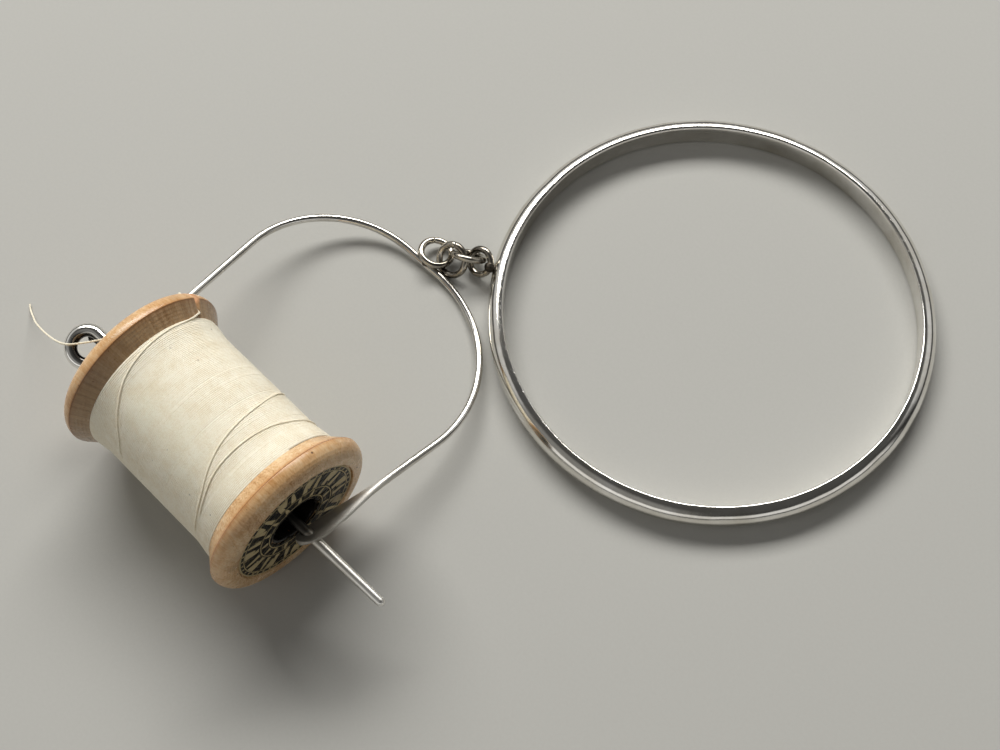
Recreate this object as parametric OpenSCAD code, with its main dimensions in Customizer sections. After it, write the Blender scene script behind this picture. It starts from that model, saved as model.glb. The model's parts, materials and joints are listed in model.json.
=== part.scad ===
// Bracelet cotton-reel holder: a bangle with a short chain that carries a wire yoke,
// a pull-out pin with a coiled eye, and a wooden reel of cotton that spins on the pin.
//
// Frame: the origin is the centre of the bangle where it lies on the table.
// +Z is up along the bangle's bore, and +X runs along the reel towards its labelled end.

/* [Bangle] */
// Inside diameter of the bangle
bangle_bore = 65; // [60:0.5:70]
// Height of the half-round band
bangle_h = 4.4; // [3.8:0.1:5]
// Flat band behind the half round
bangle_flat = 0.3; // [0.2:0.1:0.6]

/* [Chain] */
// Wire of the two links and both eyes
link_wire = 1.1; // [0.9:0.05:1.2]
// Outside diameter of a chain link and of the yoke's eye
link_od = 6; // [5.8:0.1:6.4]
// Outside diameter of the eye on the bangle
eye_od = 5.1; // [5:0.1:5.4]
// Free space between two wires that rest on each other
link_gap = 0.12; // [0.1:0.01:0.16]

/* [Yoke] */
// Wire of the yoke
yoke_wire = 1.2; // [1:0.1:1.4]
// Free space from a flange to the middle of a pin hole
yoke_play = 1.85; // [1.8:0.05:2.2]
// Depth from the pin line to the middle of the bow
yoke_depth = 47.24; // [45:0.5:50]
// Outward splay of each leg
leg_splay = 5; // [2:1:7]
// Corner radius at the far leg and at the near leg
bow_corners = [17, 21]; // [15:1:21]
// Half width of the hammered ends at the pin hole
blade_half_w = 2.1; // [1.8:0.1:2.2]
// Thickness of the hammered ends
blade_t = 0.8; // [0.6:0.1:0.9]
// Length over which each end is hammered flat
blade_len = 16; // [12:1:18]
// Lean of the hammered faces at the far and the near hole, upper edge outwards
blade_lean = [35, 48]; // [20:1:50]

/* [Pin] */
// Diameter of the pin at its coiled eye
pin_root_d = 2; // [1.8:0.1:2.2]
// Diameter of the pin just behind its rounded tip
pin_tip_d = 1.4; // [1.2:0.1:1.6]
// How far the pin stands out past the near hole
pin_reach = 14.7; // [10:0.5:18]
// Mean radius of the coiled eye
coil_r = 2.4; // [2.2:0.1:2.8]
// Turn of the coil from the shaft round to the wire's end
coil_turn = 400; // [370:10:420]

/* [Reel] */
// Length of the reel over both flanges
reel_len = 35.5; // [34:0.5:36]
// Diameter of the flanges
flange_d = 27.6; // [26:0.2:29]
// Thickness of each flange at its rim
flange_t = 2.6; // [2.2:0.1:3]
// Diameter of the barrel under the cotton
barrel_d = 13; // [12:0.5:15]
// Diameter of the hole through the reel
reel_bore = 7.8; // [7.4:0.1:8.4]
// Slope of the flanges' flared inner faces
flange_slope = 52; // [40:1:54]
// Diameter of the printed paper label
label_d = 21; // [19:0.5:21.4]

/* [Cotton] */
// Radius of the winding at its middle
wind_r = 11.6; // [10:0.1:12]
// Diameter of the thread
thread_d = 0.3; // [0.3:0.05:0.4]

/* [Pose on the table] */
// Heading, height, dip and lean of the eye on the bangle
eye_pose = [-149, 3.5, 33, -33]; // [-180:1:180]
// Yaw and pitch of the yoke and its pin
yoke_pose = [2, 4]; // [0:1:6]
// How far the middle of the pin hangs below the middle of the reel
pin_sag = 1.6; // [1.4:0.1:1.9]

/* [Hidden] */
$fn = 48;

silver = "#c9cbcd";
wood = "#c79a6b";
cotton = "#e8dfc4";

UP = [0, 0, 1];
pin_clear = 0.05;      // running fit of the pin in the yoke's holes
thread_clear = 0.02;   // thread to wood
solder_gap = 0.05;     // solder between the yoke's eye and its bow
solder_grip = 0.03;    // how far solder keys into the skin of what it joins

// ---- rings: [centre, normal, a radial direction] ----

function unit(v) = v / norm(v);

// v turned by the angle a about the unit vector k
function turned(v, k, a) = v * cos(a) + cross(k, v) * sin(a) + k * (k * v) * (1 - cos(a));

// The place on ring r, of mean radius r_on, where another wire rests against it from within,
// at the angle at and rolled about the first wire.
// Returns [the resting wire's middle, the first wire's middle, its direction, the way between].
function resting(r, r_on, at, roll) =
    let (u = turned(r[2], r[1], at), t = cross(r[1], u), p = r[0] + r_on * u)
    let (e = turned(-u, t, roll))
    [p + (link_wire + link_gap) * e, p, t, e];

// A ring of mean radius r_new that rests there, its wire turned by twist from the first one.
// It hangs at the angle lean.
function hung(rest, r_new, twist, lean) =
    let (t = turned(rest[2], rest[3], twist), w = turned(-rest[3], t, lean))
    [rest[0] + r_new * w, cross(-w, t), -w];

bore_r = bangle_bore / 2;
half_r = bangle_h / 2;
crown_r = bore_r + bangle_flat;      // centre circle of the half round
link_r = (link_od - link_wire) / 2;
eye_r = (eye_od - link_wire) / 2;

// The eye is soldered to the half round's outer wall. Its foot stands off a little, because
// the leaning eye comes closest to the wall further round.
eye_stand = 0.32;
eye_out = [cos(eye_pose[0]), sin(eye_pose[0]), 0];
eye_along = cross(UP, eye_out);
eye_dir = cos(eye_pose[2]) * eye_out - sin(eye_pose[2]) * UP;
eye_foot_r = crown_r + eye_stand
    + sqrt(pow(half_r + link_wire / 2, 2) - pow(eye_pose[1] - half_r, 2));
eye_foot = eye_foot_r * eye_out + eye_pose[1] * UP;
eye_ring = [eye_foot + eye_r * eye_dir,
            turned(cross(eye_dir, eye_along), eye_dir, eye_pose[3]), eye_dir];

eye_closest = eye_ring[0] + eye_r * turned(eye_dir, eye_ring[1], 150);

// The links lie in a slack heap: each rests on the wire of the one before it.
rest_1 = resting(eye_ring, eye_r, -166, 15);
link_1 = hung(rest_1, link_r, 79, -146);
rest_2 = resting(link_1, link_r, -171, 91);
link_2 = hung(rest_2, link_r, -115, 1);
rest_3 = resting(link_2, link_r, 135, 51);

// ---- yoke: X along the pin, Y to the bow, its wire in the plane Z = 0 ----

yoke_r = yoke_wire / 2;
half_span = reel_len / 2 + yoke_play;
bow_solder_at = 103;   // where the eye sits on the bow's wire, from the outside upwards
bow_eye_x = -1.5;      // the eye along the bow
bow_eye_turn = -28;    // where the chain holds the eye, round from +X
bow_eye_off = yoke_r + solder_gap + link_wire / 2;
bow_eye = [bow_eye_x,
           yoke_depth + bow_eye_off * cos(bow_solder_at) + link_r,
           bow_eye_off * sin(bow_solder_at)];
bow_hook = bow_eye + link_r * [cos(bow_eye_turn), sin(bow_eye_turn), 0];

// The yoke drops from the pin to the table so that its eye meets the chain's last link.
pin_height = flange_d / 2 - pin_sag;
hook_lift = (rest_3[0].z - pin_height + sin(yoke_pose[1]) * bow_hook.x) / cos(yoke_pose[1]);
yoke_drop = atan2(bow_hook.z, bow_hook.y)
    + asin(-hook_lift / norm([bow_hook.y, bow_hook.z]));
yoke_turn = [-yoke_drop, yoke_pose[1], yoke_pose[0]];

function about_x(v, a) = turned(v, [1, 0, 0], a);
function about_y(v, a) = turned(v, [0, 1, 0], a);
function about_z(v, a) = turned(v, UP, a);
function as_turned(v, a) = about_z(about_y(about_x(v, a.x), a.y), a.z);

yoke_mid = rest_3[0] - as_turned(bow_hook, yoke_turn);

module on_yoke() {
    translate(yoke_mid) rotate(yoke_turn) children();
}

// The pin lies level while the yoke drops, so its eye is flat.
module on_pin() {
    translate(yoke_mid) rotate([0, yoke_pose[1], yoke_pose[0]]) children();
}

// The straight part of a leg below a corner of radius r, and that corner's centre
function leg_len(r) = (yoke_depth - r - r * sin(leg_splay)) / cos(leg_splay);
function corner_at(r) = [half_span + leg_len(r) * sin(leg_splay) - r * cos(leg_splay),
                         yoke_depth - r, 0];

function smooth(t) = let (c = max(0, min(1, t))) c * c * (3 - 2 * c);

// ---- lofts: a closed skin over rings of points ----

module skin(rings) {
    n = len(rings[0]);
    last = len(rings) - 1;
    polyhedron(
        points = [for (ring = rings, p = ring) p],
        faces = concat(
            [[for (i = [n - 1 : -1 : 0]) i]],
            [[for (i = [0 : n - 1]) last * n + i]],
            [for (k = [0 : last - 1], i = [0 : n - 1])
                [k * n + i, k * n + (i + 1) % n, (k + 1) * n + (i + 1) % n, (k + 1) * n + i]]));
}

// Rings of radius r and n sides along a path. Each ring stands square to the path, and its
// first point keeps to the side of up, so the tube doesn't twist.
function tube_rings(path, r, n, up) =
    [for (i = [0 : len(path) - 1])
        let (t = unit(path[min(i + 1, len(path) - 1)] - path[max(i - 1, 0)]))
        let (a = unit(cross(t, up)), b = cross(a, t), rr = is_list(r) ? r[i] : r)
        [for (k = [0 : n - 1]) path[i] + rr * (cos(k * 360 / n) * a + sin(k * 360 / n) * b)]];

// A smooth curve through hand-placed points: steps pieces between each two of them
function curve_point(a, b, c, d, t) =
    0.5 * ((2 * b) + (c - a) * t + (2 * a - 5 * b + 4 * c - d) * t * t
           + (3 * b - a - 3 * c + d) * t * t * t);
function curve(p, steps) =
    concat([for (i = [0 : len(p) - 2], s = [0 : steps - 1])
        curve_point(p[max(i - 1, 0)], p[i], p[i + 1], p[min(i + 2, len(p) - 1)], s / steps)],
        [p[len(p) - 1]]);

// ---- metal ----

module torus(ring, mean_r, wire) {
    side = cross(ring[1], ring[2]);
    multmatrix([[ring[2].x, side.x, ring[1].x, ring[0].x],
                [ring[2].y, side.y, ring[1].y, ring[0].y],
                [ring[2].z, side.z, ring[1].z, ring[0].z],
                [0, 0, 0, 1]])
        rotate_extrude() translate([mean_r, 0]) circle(d = wire);
}

module bangle_body() {
    rotate_extrude() {
        translate([bore_r, 0]) square([bangle_flat, bangle_h]);
        translate([crown_r, half_r]) intersection() {
            circle(r = half_r);
            translate([-0.05, -half_r]) square([half_r + 1, bangle_h]);
        }
    }
}

module bangle() {
    color(silver) bangle_body();
}

module bangle_eye() {
    color(silver) torus(eye_ring, eye_r, link_wire);
}

// Solder that has run in between the eye and the band, which is all but straight there
module bangle_solder() {
    color(silver) difference() {
        translate(eye_closest) rotate([0, 90, 0]) sphere(r = link_wire * 0.85);
        rotate([0, 0, atan2(eye_closest.y, eye_closest.x)])
            translate([crown_r, 0, half_r]) rotate([90, 0, 0])
            cylinder(r = half_r - solder_grip, h = 2 * half_r, center = true);
        torus(eye_ring, eye_r, link_wire - 2 * solder_grip);
    }
}

module chain_link_1() {
    color(silver) torus(link_1, link_r, link_wire);
}

module chain_link_2() {
    color(silver) torus(link_2, link_r, link_wire);
}

module bow_eye_body(less = 0) {
    torus([bow_eye, UP, [1, 0, 0]], link_r, link_wire - 2 * less);
}

// The yoke is one wire. Its ends are hammered into flat blades with rounded tips, and the
// pin's holes go through them. s is the distance from a hole towards the bow.
function blade_w(s) = s < 0 ? blade_half_w * sqrt(max(0.02, 1 - pow(s / blade_half_w, 2)))
    : blade_half_w + (yoke_r - blade_half_w) * smooth(s / blade_len);
function blade_half_t(s) = blade_t / 2
    + (yoke_r - blade_t / 2) * smooth((s - blade_full) / (blade_len - blade_full));
function squareness(s) = 3.4 - 1.4 * smooth(s / blade_len);
function rounded(v, n) = sign(v) * pow(abs(v), 2 / n);
blade_full = 1.4 * blade_half_w;   // the blade keeps its full width this far from the hole
blade_steps = concat([for (a = [80 : -20 : 0]) -blade_half_w * sin(a)],
                     [for (i = [1 : 16]) i * blade_len / 16]);

// The wire's cross-section at m, square to its heading in the yoke's plane. It has the half
// thickness t and the half width w, and its upper edge leans outwards by lean.
function section(m, heading, t, w, n, lean) =
    let (out = [-sin(heading), cos(heading), 0])
    let (a = cos(lean) * out - sin(lean) * UP)
    let (b = cos(lean) * UP + sin(lean) * out)
    [for (k = [0 : 15 : 345]) m + t * rounded(cos(k), n) * a - w * rounded(sin(k), n) * b];
function lean_of(side) = blade_lean[side > 0 ? 1 : 0];

// The section of a blade; side is 1 for the near leg and -1 for the far one
function blade_section(side, s) =
    section([side * (half_span + s * sin(leg_splay)), s * cos(leg_splay), 0],
            -side * (90 + leg_splay), blade_half_t(s), blade_w(s), squareness(s), lean_of(side));

far_corner = corner_at(bow_corners[0]);
near_corner = corner_at(bow_corners[1]);
function bow_section(side, a) =
    let (c = side > 0 ? near_corner : far_corner, r = bow_corners[side > 0 ? 1 : 0])
    section([side * c.x + r * cos(a), c.y + r * sin(a), 0], a - 90, yoke_r, yoke_r, 2,
            blade_lean[0] + (blade_lean[1] - blade_lean[0]) * smooth((180 - a) / 180));

module yoke_body() {
    last = len(blade_steps) - 1;
    difference() {
        skin(concat(
            [for (s = blade_steps) blade_section(-1, s)],
            [for (a = [180 + leg_splay : -5 : 90]) bow_section(-1, a)],
            [for (a = [90 : -5 : -leg_splay]) bow_section(1, a)],
            [for (i = [last : -1 : 0]) blade_section(1, blade_steps[i])]));
        for (side = [-1, 1])
            translate([side * half_span, 0, 0]) rotate([0, 90, 0])
                cylinder(r = pin_r(side * half_span) + pin_clear, h = 3 * blade_half_w, center = true);
    }
}

function pin_r(x) = pin_root_d / 2 + (pin_tip_d - pin_root_d) / 2 * (x - coil_x) / (pin_end - coil_x);

module yoke() {
    color(silver) on_yoke() yoke_body();
}

// The eye lies on the bow's wire, soldered to it.
module yoke_eye() {
    color(silver) on_yoke() bow_eye_body();
}

module yoke_solder() {
    color(silver) on_yoke() difference() {
        translate([bow_eye.x, (bow_eye.y - link_r + yoke_depth) / 2, bow_eye.z / 2])
            sphere(r = yoke_wire * 0.62);
        bow_eye_body(solder_grip);
        translate([bow_eye.x, yoke_depth, 0]) rotate([0, 90, 0])
            cylinder(r = yoke_r - solder_grip, h = 4 * yoke_wire, center = true);
    }
}

// ---- pin ----

coil_off = 0.46;   // free space from the far hammered end to the coil
blade_reach = blade_half_w * sin(blade_lean[0]);
coil_x = -(half_span + blade_reach + coil_off + coil_r + pin_root_d / 2);
pin_end = half_span + pin_reach - pin_tip_d / 2;
coil_rise = pin_root_d + 0.05;

// The coil starts along the shaft, turns towards -Y and passes under itself.
function coil_point(a) = [coil_x - coil_r * sin(a), coil_r * (cos(a) - 1), -coil_rise * smooth(a / 270)];
coil_path = concat([[coil_x + pin_root_d / 4, 0, 0]], [for (a = [5 : 10 : coil_turn]) coil_point(a)]);
coil_radii = [for (i = [0 : len(coil_path) - 1]) pin_root_d / 2 * (i == 0 ? 0.97 : 1)];

module pin() {
    color(silver) on_pin() {
        rotate([0, 90, 0]) rotate_extrude() polygon(concat(
            [[0, coil_x], [pin_root_d / 2, coil_x]],
            arc([0, pin_end], pin_tip_d / 2, 0, 90, 8)));
        skin(tube_rings(coil_path, coil_radii, 16, UP));
    }
}

// ---- reel: it stands on its flanges on the table, its axis along X ----

flange_r = flange_d / 2;
barrel_r = barrel_d / 2;
rim_in = 0.25;         // worn inner edge of a flange
rim_out = flange_t - rim_in - 0.1;   // round of its outer edge
recess_r = label_d / 2 + 0.2;
recess_t = 0.4;
label_t = 0.15;
notch_at = 57;         // the thread's notch, from the top towards +Y
notch_deep = 2;
notch_w = 1;
reel_off = [0.15, 0.2];   // the reel has slipped this far on the pin: along it, and across
reel_at = [yoke_mid.x + reel_off.x, yoke_mid.y + reel_off.y, flange_r];

function arc(c, r, from, to, n) =
    [for (i = [0 : n]) let (a = from + (to - from) * i / n) c + r * [cos(a), sin(a)]];

// Half section [radius, place along the reel] of one flange, from its face to the barrel
face = reel_len / 2;
inner_rim = [flange_r - rim_in, face - flange_t + rim_in];
slope_end = inner_rim + rim_in * [sin(flange_slope), -cos(flange_slope)];
function slope_at(r) = slope_end.y - (slope_end.x - r) * tan(flange_slope);
flange_edge = concat(
    arc([flange_r - rim_out, face - rim_out], rim_out, 90, 0, 8),
    arc(inner_rim, rim_in, 0, flange_slope - 90, 6),
    [[barrel_r, slope_at(barrel_r)]]);
far_edge = [for (i = [len(flange_edge) - 1 : -1 : 0]) [flange_edge[i].x, -flange_edge[i].y]];

// Places a shape that was made along Z onto the reel's axis; from_top turns it about the axis
module on_reel(from_top = 0) {
    translate(reel_at) rotate([-from_top, 0, 0]) rotate([0, 90, 0]) children();
}

module reel() {
    color(wood) difference() {
        on_reel() rotate_extrude() polygon(concat([[0, face]], flange_edge, far_edge, [[0, -face]]));
        on_reel() translate([0, 0, -face - 1]) cylinder(d = reel_bore, h = reel_len + 2);
        on_reel() translate([0, 0, face - recess_t]) cylinder(r = recess_r, h = 1);
        on_reel(notch_at) translate([0, 0, -face - notch_w])
            linear_extrude(face + 2 * notch_w - slope_at(flange_r - notch_deep))
            polygon([[-flange_r + notch_deep, 0], [-flange_r - 0.5, -notch_w * 0.625],
                     [-flange_r - 0.5, notch_w * 0.625]]);
    }
}

module label() {
    color("#cdbf9a") on_reel() translate([0, 0, face - recess_t]) difference() {
        cylinder(d = label_d, h = label_t);
        translate([0, 0, -1]) cylinder(d = reel_bore + 0.8, h = 2);
    }
}

// ---- cotton ----

// The winding stands a little fuller against both flanges.
end_r = wind_r + 0.4;
fill = reel_len / 9;      // length over which it grows to that
wind_end = slope_at(end_r) - thread_clear;
function wind_at(x) = wind_r + (end_r - wind_r) * smooth((abs(x) - wind_end + fill) / fill);

module thread_winding() {
    inner = barrel_r + thread_clear;
    color(cotton) on_reel() rotate_extrude() polygon(concat(
        [[inner, thread_clear - slope_at(inner)]],
        [for (i = [0 : 5]) let (x = -wind_end + fill * i / 5) [wind_at(x), x]],
        [for (i = [0 : 5]) let (x = wind_end - fill + fill * i / 5) [wind_at(x), x]],
        [[inner, slope_at(inner) - thread_clear]]));
}

// The thread's last turn leaves the winding for the notch:
// [from the far end of the winding, degrees from the top]
lead_turns = [[5.8, -62], [4.3, -49], [3, -36], [1.8, -22], [1.1, -7],
              [0.65, 8], [0.42, 23], [0.34, 37]];
thread_lift = thread_d / 2 + 2 * thread_clear;
notch_r = flange_r - notch_deep + thread_d * 1.1 / notch_w * notch_deep;
lead_end = -face - 1.3 * thread_d / 2;

function around(x, r, from_top) = reel_at + [x, r * sin(from_top), r * cos(from_top)];

// A place where the thread lies on the far flange's flare
function on_flare(r, from_top) =
    around(1.1 * thread_lift / cos(flange_slope) - slope_at(r), r, from_top);

lead_route = concat(
    [for (p = lead_turns) let (x = p[0] - wind_end) around(x, wind_at(x) + thread_lift, p[1])],
    [on_flare(notch_r - thread_d, notch_at - 10), on_flare(notch_r, notch_at - 3.5),
     around(-slope_at(notch_r), notch_r, notch_at - 0.3),
     for (t = [0.3, 0.65, 1]) around(lead_end * t - (1 - t) * slope_at(notch_r), notch_r, notch_at)]);

module thread_lead() {
    color(cotton) skin(tube_rings(curve(lead_route, 5), thread_d / 2, 8, [0.3, 0.2, 1]));
}

// The loose end leaves the notch, hangs behind the flange, lies over the pin's eye and falls
// to the table: [along the reel and across it from the notch, height as a share of the notch's]
tail_start = around(lead_end - thread_clear, notch_r, notch_at);
tail_turns = [[0, 0, 1], [-0.3, 0, 1], [-0.6, -0.6, 0.97], [-0.9, -3, 0.87], [-2, -7.2, 0.79],
              [-4.6, -11.4, 0.75], [-6.6, -14.2, 0.735], [-9, -16.1, 0.68], [-13.9, -16.3, 0.46],
              [-19.3, -15.8, 0.24], [-22.5, -15, 0.097], [-24.4, -14.4, 0.026],
              [-25.5, -13.8, 0.011]];
tail_route = [for (p = tail_turns) [tail_start.x + p.x, tail_start.y + p.y, tail_start.z * p.z]];

module thread_tail() {
    color(cotton) skin(tube_rings(curve(tail_route, 5), thread_d / 2, 8, [0.3, 0.2, 1]));
}

bangle();
bangle_eye();
bangle_solder();
chain_link_1();
chain_link_2();
yoke_eye();
yoke_solder();
yoke();
pin();
reel();
label();
thread_winding();
thread_lead();
thread_tail();
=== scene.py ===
"""Bracelet cotton-reel holder: a silver bangle, two chain links, a wire yoke and its pin,
and a wooden reel of cream cotton that spins on the pin. Lengths in this script are in
millimetres until a mesh is made; the meshes are in metres, in the frame of the CAD model."""

import json
import math

import bmesh
import bpy
import numpy as np
from mathutils import Matrix, Vector


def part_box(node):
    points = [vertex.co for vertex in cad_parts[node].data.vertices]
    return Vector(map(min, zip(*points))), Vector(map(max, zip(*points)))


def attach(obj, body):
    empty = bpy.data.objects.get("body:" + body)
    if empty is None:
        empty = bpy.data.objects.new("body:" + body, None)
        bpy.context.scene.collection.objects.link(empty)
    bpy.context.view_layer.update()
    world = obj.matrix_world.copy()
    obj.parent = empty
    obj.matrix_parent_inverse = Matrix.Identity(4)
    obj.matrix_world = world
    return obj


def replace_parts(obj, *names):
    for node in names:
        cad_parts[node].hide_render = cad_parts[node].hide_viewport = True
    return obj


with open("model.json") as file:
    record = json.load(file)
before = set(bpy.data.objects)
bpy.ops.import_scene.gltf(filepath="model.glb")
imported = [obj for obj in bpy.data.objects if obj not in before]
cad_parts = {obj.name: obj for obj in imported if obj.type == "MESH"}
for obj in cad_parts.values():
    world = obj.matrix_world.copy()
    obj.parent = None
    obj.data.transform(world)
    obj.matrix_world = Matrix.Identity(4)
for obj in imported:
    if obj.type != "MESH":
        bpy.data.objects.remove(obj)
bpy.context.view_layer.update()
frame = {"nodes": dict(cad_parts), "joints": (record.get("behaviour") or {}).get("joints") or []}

MM = 0.001
UP = np.array([0.0, 0.0, 1.0])
DAYLIGHT = "#FFFEFB"
rng = np.random.default_rng(7)
scene = bpy.context.scene


# ---- camera ----

camera_at = Vector((57.6, -104.9, 238.2)) * MM
camera_aim = Vector((-16.6, -30.1, 0.0)) * MM
camera_roll = math.radians(0.2)
camera = bpy.data.objects.new("camera", bpy.data.cameras.new("camera"))
camera.data.lens = 60.4
camera.data.sensor_width = 36.0
camera.data.clip_start = 0.01
camera.data.clip_end = 10.0
camera.matrix_world = (
    Matrix.Translation(camera_at)
    @ (camera_aim - camera_at).to_track_quat("-Z", "Y").to_matrix().to_4x4()
    @ Matrix.Rotation(camera_roll, 4, "Z")
)
scene.collection.objects.link(camera)
scene.camera = camera


# ---- places, from the CAD model ----

def unit(v):
    v = np.asarray(v, float)
    return v / np.linalg.norm(v)


def middle(node):
    low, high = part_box(node)
    return (np.array(low) + np.array(high)) / 2 / MM


def ring_of(node):
    """Centre, axis and one radius direction of a ring of wire, from its solid's surface."""
    mesh = frame["nodes"][node].data
    points = np.empty(len(mesh.vertices) * 3)
    mesh.vertices.foreach_get("co", points)
    points = np.unique(np.round(points.reshape(-1, 3) / MM, 3), axis=0)
    centre = (points.min(0) + points.max(0)) / 2
    axes = np.linalg.svd(points - points.mean(0))[2]
    return centre, unit(axes[2]), unit(axes[0])


# The sizes are those of the CAD model's source.
FLANGE_R = 13.8
REEL_LEN = 35.5
FACE = REEL_LEN / 2    # from the reel's middle to the outer face of a flange
FLANGE_T = 2.6
BARREL_R = 6.5
BORE_R = 3.9
RIM_IN = 0.25          # worn inner edge of a flange
RIM_OUT = FLANGE_T - RIM_IN - 0.1   # round of its outer edge
SLOPE_DEG = 52         # flare of a flange's inner face
SLOPE = math.radians(SLOPE_DEG)
NOTCH_AT = 57          # degrees from the top towards +Y
NOTCH_DEEP = 2.0
NOTCH_W = 1.0          # at the rim, before the slit was torn wider
RECESS_R = 10.7
RECESS_DEEP = 0.4
LABEL_R = 10.5
LABEL_LIFT = 0.13      # of the label's face from the floor of its recess
WIND_R = 11.6
END_R = WIND_R + 0.4   # the winding against the flanges
THREAD_R = 0.15
THREAD_LIFT = 0.19     # of the thread's middle from the wood that it lies on
YARN_LAY = 1.1         # length of one turn of its two plies
YARN_STEP = 0.16       # between the points of a strand

reel_at = middle("reel")
pin_way = -unit(next(j for j in frame["joints"] if j["name"] == "pin_slide")["axis"])
pin_side = unit(np.cross(UP, pin_way))
pin_axes = np.column_stack([pin_way, pin_side, np.cross(pin_way, pin_side)])
# The reel hangs on the pin, and has slipped a little on it.
pin_mid = reel_at - np.array([0.15, 0.2, 1.6])

# The yoke hangs from the pin's line, so its eye gives how far it drops.
HALF_SPAN = FACE + 1.85
YOKE_DEPTH = 47.24
WIRE_R = 0.6
LINK_R = 2.45
LINK_WIRE_R = 0.55
EYE_R = 2.0
BLADE_HALF_W = 2.1
BLADE_T = 0.8
BLADE_LEN = 16
BLADE_FULL = 1.4 * BLADE_HALF_W     # the blade keeps its full width this far from the hole
LEANS = (math.radians(35), math.radians(48))    # of the far and the near blade
COIL_R = 2.4           # of the pin's eye, to the middle of its wire
COIL_OFF = 0.46        # from the far blade to that eye
COIL_RISE = 2.05       # from one turn of it to the next
PIN_R = 1.0            # at its eye
PIN_TIP_R = 0.7
PIN_REACH = 14.7       # of its tip, past the near blade's hole
PIN_CLEAR = 0.05       # running fit of the pin in the blades' holes
SOLDER_GAP = 0.05
coil_x = -(HALF_SPAN + BLADE_HALF_W * math.sin(LEANS[0]) + COIL_OFF + COIL_R + PIN_R)
pin_end = HALF_SPAN + PIN_REACH - PIN_TIP_R
eye_off = WIRE_R + SOLDER_GAP + LINK_WIRE_R
eye_seat = math.radians(103)
bow_eye = np.array([-1.5, YOKE_DEPTH + eye_off * math.cos(eye_seat) + LINK_R,
                    eye_off * math.sin(eye_seat)])
hung_eye = pin_axes.T @ (ring_of("yoke_eye")[0] - pin_mid)
drop = math.atan2(bow_eye[2], bow_eye[1]) - math.atan2(hung_eye[2], hung_eye[1])
yoke_axes = pin_axes @ np.array([
    [1, 0, 0],
    [0, math.cos(drop), math.sin(drop)],
    [0, -math.sin(drop), math.cos(drop)],
])


def on_pin(points):
    return pin_mid + np.asarray(points) @ pin_axes.T


def on_yoke(points):
    return pin_mid + np.asarray(points) @ yoke_axes.T


def slope_at(r):
    """Place along the reel of a flange's flared inner face at the radius r."""
    x = FACE - FLANGE_T + RIM_IN - RIM_IN * math.cos(SLOPE)
    return x - (FLANGE_R - RIM_IN + RIM_IN * math.sin(SLOPE) - r) * math.tan(SLOPE)


def around(x, r, from_top):
    """A place round the reel's axis: x along it, r from it, degrees from the top towards +Y."""
    a = math.radians(from_top)
    return reel_at + np.array([x, r * math.sin(a), r * math.cos(a)])


def smooth(t):
    t = np.clip(t, 0, 1)
    return t * t * (3 - 2 * t)


def full_turn(steps):
    """The angles of equal steps round a circle."""
    return np.arange(steps) * 2 * math.pi / steps


def curve(points, steps):
    """A smooth curve through given points, with steps pieces between each two."""
    p = [np.asarray(q, float) for q in points]
    out = []
    for i in range(len(p) - 1):
        a, b, c, d = p[max(i - 1, 0)], p[i], p[i + 1], p[min(i + 2, len(p) - 1)]
        for t in np.arange(steps) / steps:
            out.append(0.5 * (2 * b + (c - a) * t + (2 * a - 5 * b + 4 * c - d) * t * t
                              + (3 * b - a - 3 * c + d) * t ** 3))
    return np.array(out + [p[-1]])


def distances(path):
    """How far along the path each of its points is."""
    return np.concatenate([[0], np.cumsum(np.linalg.norm(np.diff(path, axis=0), axis=1))])


def evenly(path, step):
    """The same path, with its points step apart."""
    away = distances(path)
    at = np.linspace(0, away[-1], max(2, round(away[-1] / step) + 1))
    return np.column_stack([np.interp(at, away, path[:, k]) for k in range(3)])


# ---- meshes ----

def shade(mesh, sharp=None):
    """Smooth shading, but for the edges that turn by more than sharp degrees."""
    mesh.shade_smooth()
    if sharp is not None:
        mesh.set_sharp_from_angle(angle=math.radians(sharp))


def piece(name, points, faces, finish, body, slot, sharp=None):
    """A mesh object from points in millimetres, that rides on a body."""
    mesh = bpy.data.meshes.new(name)
    mesh.from_pydata((np.asarray(points) * MM).tolist(), [], faces)
    work = bmesh.new()
    work.from_mesh(mesh)
    bmesh.ops.recalc_face_normals(work, faces=work.faces)
    work.to_mesh(mesh)
    work.free()
    shade(mesh, sharp)
    mesh.materials.append(finish)
    thing = bpy.data.objects.new(name, mesh)
    scene.collection.objects.link(thing)
    if body:
        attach(thing, body)
    return thing


def strips(rows, columns, loop_rows=False, loop_columns=True, start=0):
    """Four-sided faces between rows of points; a loop joins the last to the first."""
    faces = []
    for i in range(rows if loop_rows else rows - 1):
        a, b = start + i * columns, start + (i + 1) % rows * columns
        for k in range(columns if loop_columns else columns - 1):
            n = (k + 1) % columns
            faces.append([a + k, a + n, b + n, b + k])
    return faces


def skin(rings):
    """A closed skin over rings of points, with a flat face at either end."""
    rings = np.asarray(rings)
    rows, columns = rings.shape[:2]
    ends = [list(range(columns)), list(range((rows - 1) * columns, rows * columns))]
    return rings.reshape(-1, 3), strips(rows, columns) + ends


def loop_skin(rows):
    """The skin over rows of points, with the last row joined to the first."""
    rows = np.asarray(rows)
    return rows.reshape(-1, 3), strips(*rows.shape[:2], loop_rows=True)


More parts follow.
